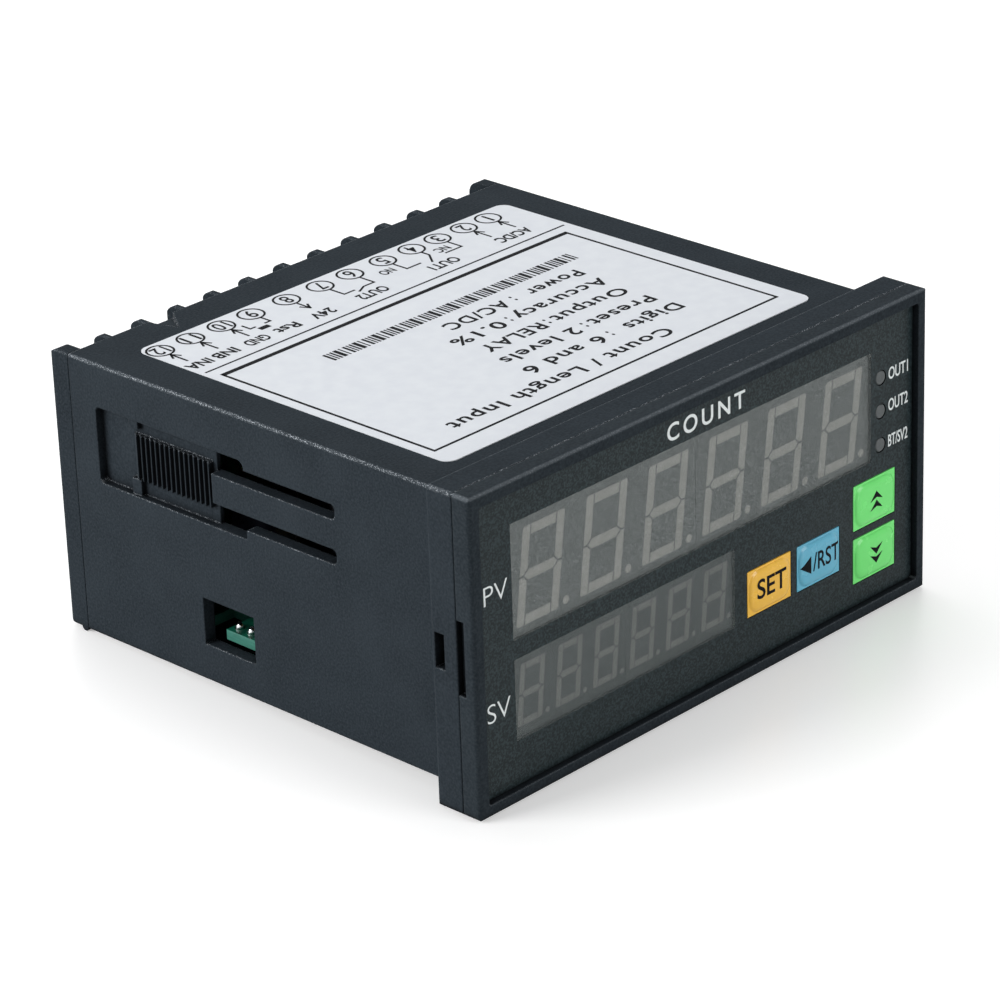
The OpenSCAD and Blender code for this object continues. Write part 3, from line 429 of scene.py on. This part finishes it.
# Height of a capital in the font's own units
CAPITAL = max(v.co.y for v in letters("H", 0, 1).vertices)

ARROW_ANGLE = math.radians(28)
RING_SIDES = 40
# Points this near each other are one, and slivers this thin go
MERGE = 1e-5
SLIVER = 0.002


class Ink:
    """Flat shapes printed on one face, in millimetres across and up that face."""

    def __init__(self):
        self.bm = bmesh.new()

    def shape(self, points):
        self.bm.faces.new([self.bm.verts.new((u, v, 0)) for u, v in points])

    def bar(self, u0, v0, u1, v1):
        self.shape([(u0, v0), (u1, v0), (u1, v1), (u0, v1)])

    def line(self, points, width):
        """A stroke through the points, with mitred corners and square ends."""
        points = [Vector(p) for p in points]
        ways = [(b - a).normalized() for a, b in zip(points, points[1:])]
        points[0] -= ways[0] * width / 2
        points[-1] += ways[-1] * width / 2
        sides = []
        for point, before, after in zip(points, ways[:1] + ways, ways + ways[-1:]):
            across = Vector((-before.y - after.y, before.x + after.x))
            across *= width / 2 / across.dot(Vector((-before.y, before.x)))
            sides.append([self.bm.verts.new((*(point + side * across), 0)) for side in (-1, 1)])
        for (a, b), (c, d) in zip(sides, sides[1:]):
            self.bm.faces.new((a, c, d, b))

    def arrow(self, tail, tip, width, head):
        """A stroke with an open arrow head."""
        tail, tip = Vector(tail), Vector(tip)
        self.line([tail, tip], width)
        back = (tail - tip).normalized() * head
        for side in (-1, 1):
            turned = Matrix.Rotation(side * ARROW_ANGLE, 2) @ back
            self.line([tip, tip + turned], width)

    def ring(self, centre, radius, width):
        """A circle drawn with a pen."""
        turns = [2 * math.pi * i / RING_SIDES for i in range(RING_SIDES)]
        edges = [[self.bm.verts.new((centre[0] + math.cos(t) * r, centre[1] + math.sin(t) * r, 0))
                  for r in (radius - width / 2, radius + width / 2)] for t in turns]
        for (a, b), (c, d) in zip(edges, edges[1:] + edges[:1]):
            self.bm.faces.new((a, b, d, c))

    def text(self, words, centre, height, width, weight, spacing=1.0):
        """Words about a centre: capitals of that height, squeezed or spread to that width."""
        mesh = letters(words, weight, spacing)
        left = min(v.co.x for v in mesh.vertices)
        right = max(v.co.x for v in mesh.vertices)
        tall = height / CAPITAL
        wide = width / (right - left)
        start = Vector((centre[0] - (left + right) / 2 * wide, centre[1] - height / 2, 0))
        verts = [self.bm.verts.new(start + Vector((v.co.x * wide, v.co.y * tall, 0))) for v in mesh.vertices]
        for polygon in mesh.polygons:
            self.bm.faces.new([verts[i] for i in polygon.vertices])
        bpy.data.meshes.remove(mesh)

    def slice(self, step, reach):
        """Cuts the shapes along a grid, so that they can follow a curved face."""
        count = int(reach / step)
        for i in range(-count, count + 1):
            for normal in ((1, 0, 0), (0, 1, 0)):
                everything = self.bm.verts[:] + self.bm.edges[:] + self.bm.faces[:]
                at = Vector(normal) * i * step
                bmesh.ops.bisect_plane(self.bm, geom=everything, plane_co=at, plane_no=normal)
        bmesh.ops.dissolve_degenerate(self.bm, dist=SLIVER, edges=self.bm.edges)

    def lay(self, name, place, up, material, body):
        """Lays the shapes on the object: place gives the point for (u, v), and up points out of the face."""
        bmesh.ops.remove_doubles(self.bm, verts=self.bm.verts, dist=MERGE)
        for vert in self.bm.verts:
            vert.co = (place(vert.co.x, vert.co.y) + up * INK_LIFT) * MM
        raised = bmesh.ops.extrude_face_region(self.bm, geom=self.bm.faces[:])["geom"]
        tops = [v for v in raised if isinstance(v, bmesh.types.BMVert)]
        bmesh.ops.translate(self.bm, verts=tops, vec=up * INK_T * MM)
        piece(name, self.bm, material, body)


def millimetres(node):
    """Lowest and highest corner of a CAD node in millimetres."""
    low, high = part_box(node)
    return Vector(low) / MM, Vector(high) / MM


# Print on the film, in X and Z
film_y = millimetres("front_overlay")[0].y
OUT = Vector((0, -1, 0))


def on_film(u, v):
    return Vector((u, film_y, v))


# Words, centre, height of the capitals, width, weight of the strokes and letter spacing
FILM_WORDS = [
    ("COUNT", (0.4, 19.4), 2.5, 16.4, 0.014, 1.35),
    ("PV", (-42.5, 8.3), 2.85, 4.6, -0.012, 1),
    ("SV", (-42.6, -9.25), 2.85, 4.5, -0.012, 1),
    ("OUT1", (42.7, 12.55), 1.8, 4.5, 0.014, 1),
    ("OUT2", (42.7, 7.6), 1.8, 4.5, 0.014, 1),
    ("BT/SV2", (42.7, 1.95), 1.8, 4.5, 0.014, 1),
]


def film_print():
    ink = Ink()
    for words in FILM_WORDS:
        ink.text(*words)
    ink.lay("film_print", on_film, OUT, WHITE_INK, "housing")


# Embossed key pads, each with its legend
def pad_height(u, v, half_w, half_h):
    """Height of the embossed dome over the film, in millimetres, at a place on a key."""
    flat_w, flat_h = half_w - PAD_MARGIN - PAD_CORNER, half_h - PAD_MARGIN - PAD_CORNER
    over = Vector((max(abs(u) - flat_w, 0), max(abs(v) - flat_h, 0)))
    inside = min(max(abs(u) - flat_w, abs(v) - flat_h), 0)
    depth = min(max((PAD_CORNER - over.length - inside) / PAD_EDGE, 0), 1)
    if depth == 0:
        return 0
    crown = (1 - (u / half_w) ** 2) * (1 - (v / half_h) ** 2)
    return PAD_RIM * math.sqrt(1 - (1 - depth) ** 2) + PAD_CROWN * crown * depth


def key_pad(key, body, material, draw):
    """A smooth pad in the place of a CAD key, and its legend laid over the dome."""
    low, high = millimetres(key)
    middle = (low + high) / 2
    half_w, half_h = (high.x - low.x) / 2, (high.z - low.z) / 2
    columns, rows = round(2 * half_w / PAD_STEP), round(2 * half_h / PAD_STEP)

    def on_pad(u, v):
        return Vector((middle.x + u, film_y - pad_height(u, v, half_w, half_h), middle.z + v))

    bm = bmesh.new()
    grid = [[bm.verts.new(on_pad(half_w * (2 * i / columns - 1), half_h * (2 * j / rows - 1)) * MM)
             for j in range(rows + 1)] for i in range(columns + 1)]
    for i in range(columns):
        for j in range(rows):
            bm.faces.new((grid[i][j], grid[i + 1][j], grid[i + 1][j + 1], grid[i][j + 1]))
    rim = [e for e in bm.edges if e.is_boundary]
    skirt = bmesh.ops.extrude_edge_only(bm, edges=rim)["geom"]
    for vert in skirt:
        if isinstance(vert, bmesh.types.BMVert):
            vert.co.y = high.y * MM
    bmesh.ops.contextual_create(bm, geom=[e for e in bm.edges if e.is_boundary])
    pad = piece(f"{body}_pad", bm, material, body, smooth=True)
    pad.data.set_sharp_from_angle(angle=PAD_SHARP)
    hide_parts(key)

    ink = Ink()
    draw(ink)
    ink.slice(LEGEND_STEP, half_w)
    ink.lay(f"{body}_legend", on_pad, OUT, BLACK_INK, body)


CHEVRON_HALF = 1.4
CHEVRON_H = 1.5
CHEVRON_NOTCH = 0.5
CHEVRON_FEET = (-1.4, 0.05)


def chevrons(ink, way):
    """Two filled arrow heads, one over the other, that point up or down."""
    for foot in CHEVRON_FEET:
        points = [(-CHEVRON_HALF, foot), (0, foot + CHEVRON_H), (CHEVRON_HALF, foot), (0, foot + CHEVRON_NOTCH)]
        ink.shape([(u, v * way) for u, v in points[::way]])


def shift_legend(ink):
    """A triangle that points left, and the word beside it."""
    ink.shape([(-4.3, 0.0), (-2.1, -1.4), (-2.1, 1.4)])
    ink.text("/RST", (1.3, 0.2), 2.7, 6.0, weight=0.01)


key_pad("set_key", "set_button", YELLOW,
        lambda ink: ink.text("SET", (0.1, 0.3), 2.9, 6.4, weight=0.014))
key_pad("shift_key", "shift_button", BLUE, shift_legend)
key_pad("up_key", "up_button", GREEN, lambda ink: chevrons(ink, 1))
key_pad("down_key", "down_button", GREEN, lambda ink: chevrons(ink, -1))
film_print()

# Print on the label, read from the back: across is -X, and up is towards the front
label_top = millimetres("rating_label")[1].z
label_rear = millimetres("rating_label")[1].y
UP = Vector((0, 0, 1))
TERMINALS = [-32.0, -26.65, -20.9, -15.3, -9.15, -2.2, 4.0, 10.9, 18.1, 24.0, 30.1, 36.0]
TERMINAL_WORDS = [("AC/DC", -29.3), ("OUT1", -14.2), ("OUT2", 0.9), ("24V", 11.2), ("Rst", 18.3), ("GND", 24.4),
                  ("INB", 30.6), ("INA", 35.7)]
RING_V = 2.75
RING_R = 2.0
MARKS_V = RING_V + 2.1
WORDS_V = 10.7
RULE_V = 13.8
PEN = 0.34
ARROW_HEAD = 1.5
# Heights of the capitals
NUMBER_H = 2.6
CONTACT_H = 1.7
WORD_H = 2.0
ROW_H = 2.5
# The frame round the rows, with a heavier bar along its rear
FRAME_U = (-35.0, 36.4)
FRAME_V = (16.3, 57.9)
FRAME_PEN = 0.45
BAR_PEN = 0.88
BAR_INSET = 0.22


def on_label(u, v):
    return Vector((-u, label_rear - v, label_top))


def numbers(ink):
    """The terminals' numbers in their circles."""
    for number, u in enumerate(TERMINALS, 1):
        width = 0.45 if number == 1 else 1.4 if number < 10 else 2.4
        ink.ring((u, RING_V), RING_R, PEN)
        ink.text(str(number), (u, RING_V), NUMBER_H, width, weight=0.01)


def arrows(ink):
    """Arrows into the supply and the inputs, and one out of the sensor supply."""
    for number in (1, 2, 10, 11, 12):
        u = TERMINALS[number - 1]
        ink.arrow((u, MARKS_V + 3.6), (u, MARKS_V + 0.1), PEN, ARROW_HEAD)
    u = TERMINALS[7]
    ink.arrow((u, MARKS_V + 0.1), (u, MARKS_V + 2.9), PEN, ARROW_HEAD)


def contacts(ink):
    """The change-over contact, the closing contact and the reset push-button."""
    def wire(start, *steps):
        ink.line([(start + u, MARKS_V + v) for u, v in steps], PEN)

    left, blade, right = TERMINALS[2:5]
    wire(left, (0, 0), (0, 3), (3.4, 3))
    wire(blade, (0, 0), (0, 1.6), (1.7, 3.9))
    wire(right, (0, 0), (0, 3), (-2.8, 3))
    for words, u in (("NC", left + 2.7), ("NO", right + 2.7)):
        ink.text(words, (u, MARKS_V + 1.5), CONTACT_H, 2.6, weight=0.016)
    blade, right = TERMINALS[5:7]
    wire(blade, (0, 0), (0, 3), (2.2, 3), (3.9, 3.9))
    wire(right, (0, 0), (0, 3), (-2, 3))
    left, right = TERMINALS[8:10]
    wire(left, (0, 0), (0, 2), (1, 2))
    wire(right, (-1.9, 0.3), (-1.9, 2), (-2.8, 2))
    ink.bar(left + 1.3, MARKS_V + 2.6, left + 3.2, MARKS_V + 3.6)


def terminal_words(ink):
    """What the terminals are for, in front of their marks."""
    for words, u in TERMINAL_WORDS:
        ink.text(words, (u, WORDS_V), WORD_H, 1.35 * len(words) + 0.25, weight=0.024)


def label_frame(ink):
    """The rule in front of the terminals, and the frame round the rows."""
    ink.line([(37.3, RULE_V), (-37.0, RULE_V)], PEN)
    left, right = FRAME_U
    rear, front = FRAME_V
    ink.line([(right, rear), (right, front), (left, front), (left, rear)], FRAME_PEN)
    ink.line([(left + BAR_INSET, rear), (right - BAR_INSET, rear)], BAR_PEN)


# Words, their two ends, and their row
LABEL_ROWS = [
    ("Count / Length Input", -15.8, 29.2, 54.1),
    ("Digits", -23.9, -12.7, 48.8), (":", -9.6, -9.2, 48.8), ("6 and 6", -7.6, 8.5, 48.8),
    ("Preset", -23.5, -10.6, 43.8), (":", -9.6, -9.2, 43.8), ("2 levels", -7.6, 7.8, 43.8),
    ("Output", -23.3, -8.2, 38.7), (":", -7.2, -6.8, 38.7), ("RELAY", -5.8, 6.6, 38.7),
    ("Accuracy", -24.4, -5.4, 33.8), (":", -4.4, -4.0, 33.8), ("0.1%", -2.6, 7.6, 33.8),
    ("Power", -24.4, -13.4, 28.8), (":", -10.6, -10.2, 28.8), ("AC/DC", -8.7, 4.0, 28.8),
]


def label_rows(ink):
    """Plain words about what such a counter takes and gives."""
    for words, start, end, v in LABEL_ROWS:
        ink.text(words, ((start + end) / 2, v), ROW_H, end - start, weight=0.018, spacing=1.15)


STRIPES_U = (-28.4, 22.4)
STRIPES_V = (22.2, 24.9)
STRIPE_WIDTHS = (0.25, 0.45, 0.25, 0.7, 0.35)
STRIPE_GAPS = (0.3, 0.55, 0.4, 0.3, 0.3)


def stripes(ink):
    """A field of upright stripes of a few widths."""
    u, end = STRIPES_U
    low, high = STRIPES_V
    for width, gap in itertools.cycle(zip(STRIPE_WIDTHS, STRIPE_GAPS)):
        if u >= end:
            break
        ink.bar(u, low, u + width, high)
        u += width + gap


label_ink = Ink()
for draw in (numbers, arrows, contacts, terminal_words, label_frame, label_rows, stripes):
    draw(label_ink)
label_ink.lay("label_print", on_label, UP, BLACK_INK, "housing")


# Small parts on the main board, seen through the side window: places from the board's left front corner
JOINTS = [(1.6, 34.6), (1.6, 37.1), (1.6, 39.6), (1.6, 42.1), (4.2, 36), (4.2, 41)]
JOINT_SIDES = 20
JOINT_FOOT_R = 0.85
JOINT_TIP_R = 0.25
JOINT_H = 0.9
JOINT_MID = 0.4
CHIPS = [(7.0, 34.5), (7.0, 37.5), (7.0, 40.5)]
CHIP_SIZE = Vector((2.0, 1.25, 0.6))
CHIP_EDGE = 0.08


def board_parts():
    low, high = millimetres("main_board")

    def over_board(x, y, z):
        return Matrix.Translation(Vector((low.x + x, low.y + y, high.z + z)) * MM)

    joints = bmesh.new()
    for x, y in JOINTS:
        bmesh.ops.create_cone(joints, segments=JOINT_SIDES, radius1=JOINT_FOOT_R * MM, radius2=JOINT_TIP_R * MM,
                              depth=JOINT_H * MM, cap_ends=True, matrix=over_board(x, y, JOINT_MID))
    piece("solder_joints", joints, SOLDER, "housing", smooth=True)
    chips = bmesh.new()
    for x, y in CHIPS:
        size = Matrix.Diagonal((*(CHIP_SIZE * MM), 1))
        bmesh.ops.create_cube(chips, size=1, matrix=over_board(x, y, CHIP_SIZE.z / 2) @ size)
    bmesh.ops.bevel(chips, geom=chips.edges[:], offset=CHIP_EDGE * MM, segments=2, affect="EDGES")
    piece("chip_parts", chips, BLACK, "housing")


board_parts()


# Floor, light and camera
def looking(tree):
    """1 for the rays that see a background: the camera's, and those mirrored or let through."""
    rays = tree.nodes.new("ShaderNodeLightPath")
    seen = rays.outputs["Is Camera Ray"]
    for kind in ("Is Glossy Ray", "Is Transmission Ray"):
        either = tree.nodes.new("ShaderNodeMath")
        either.operation = "MAXIMUM"
        tree.links.new(seen, either.inputs[0])
        tree.links.new(rays.outputs[kind], either.inputs[1])
        seen = either.outputs["Value"]
    return seen


def floor():
    """A pale floor that the camera sees as white, with the shadow of the object on it."""
    material = bpy.data.materials.new("floor")
    material.use_nodes = True
    tree = material.node_tree
    shader = tree.nodes["Principled BSDF"]
    shader.inputs["Base Color"].default_value = FLOOR_GREY
    shader.inputs["Roughness"].default_value = FLOOR_ROUGHNESS
    glow = tree.nodes.new("ShaderNodeEmission")
    strength = tree.nodes.new("ShaderNodeMath")
    strength.operation = "MULTIPLY"
    strength.inputs[1].default_value = FLOOR_GLOW
    tree.links.new(looking(tree), strength.inputs[0])
    tree.links.new(strength.outputs["Value"], glow.inputs["Strength"])
    both = tree.nodes.new("ShaderNodeAddShader")
    tree.links.new(shader.outputs["BSDF"], both.inputs[0])
    tree.links.new(glow.outputs["Emission"], both.inputs[1])
    tree.links.new(both.outputs["Shader"], tree.nodes["Material Output"].inputs["Surface"])
    bm = bmesh.new()
    bmesh.ops.create_grid(bm, x_segments=8, y_segments=8, size=FLOOR_HALF * MM)
    mesh = bpy.data.meshes.new("floor")
    bm.to_mesh(mesh)
    bm.free()
    mesh.materials.append(material)
    obj = bpy.data.objects.new("floor", mesh)
    bpy.context.collection.objects.link(obj)
    rise = math.atan2(FLOOR_REAR[1] - FLOOR_FRONT[1], FLOOR_REAR[0] - FLOOR_FRONT[0])
    obj.rotation_euler = (rise, 0, 0)
    obj.location = Vector((0, FLOOR_FRONT[0], FLOOR_FRONT[1])) * MM


def softbox(name, at, aim, size, power):
    """A square area light, in millimetres and watts."""
    light = bpy.data.lights.new(name, "AREA")
    light.size = size * MM
    light.energy = power
    obj = bpy.data.objects.new(name, light)
    bpy.context.collection.objects.link(obj)
    obj.location = Vector(at) * MM
    obj.rotation_euler = (Vector(aim) - Vector(at)).to_track_quat("-Z", "Y").to_euler()


def world(level):
    """Even light from all round, and a white background for what looks at it."""
    made = bpy.data.worlds.new("studio")
    bpy.context.scene.world = made
    made.use_nodes = True
    tree = made.node_tree
    tree.nodes["Background"].inputs["Color"].default_value = (1, 1, 1, 1)
    tree.nodes["Background"].inputs["Strength"].default_value = level
    white = tree.nodes.new("ShaderNodeBackground")
    white.inputs["Color"].default_value = (1, 1, 1, 1)
    white.inputs["Strength"].default_value = 1
    mix = tree.nodes.new("ShaderNodeMixShader")
    tree.links.new(looking(tree), mix.inputs["Fac"])
    tree.links.new(tree.nodes["Background"].outputs["Background"], mix.inputs[1])
    tree.links.new(white.outputs["Background"], mix.inputs[2])
    tree.links.new(mix.outputs["Shader"], tree.nodes["World Output"].inputs["Surface"])


def camera():
    data = bpy.data.cameras.new("camera")
    data.lens = CAMERA_LENS
    data.sensor_width = CAMERA_SENSOR
    data.clip_start = CAMERA_NEAR * MM
    obj = bpy.data.objects.new("camera", data)
    bpy.context.collection.objects.link(obj)
    obj.location = CAMERA_AT * MM
    aim = (CAMERA_AIM - CAMERA_AT).to_track_quat("-Z", "Y").to_matrix()
    obj.rotation_euler = (aim @ Matrix.Rotation(math.radians(CAMERA_ROLL), 3, "Z")).to_euler()
    bpy.context.scene.camera = obj


floor()
world(WORLD_LEVEL)
for light in SOFTBOXES:
    softbox(*light)
camera()

bpy.context.scene.view_settings.view_transform = "Standard"
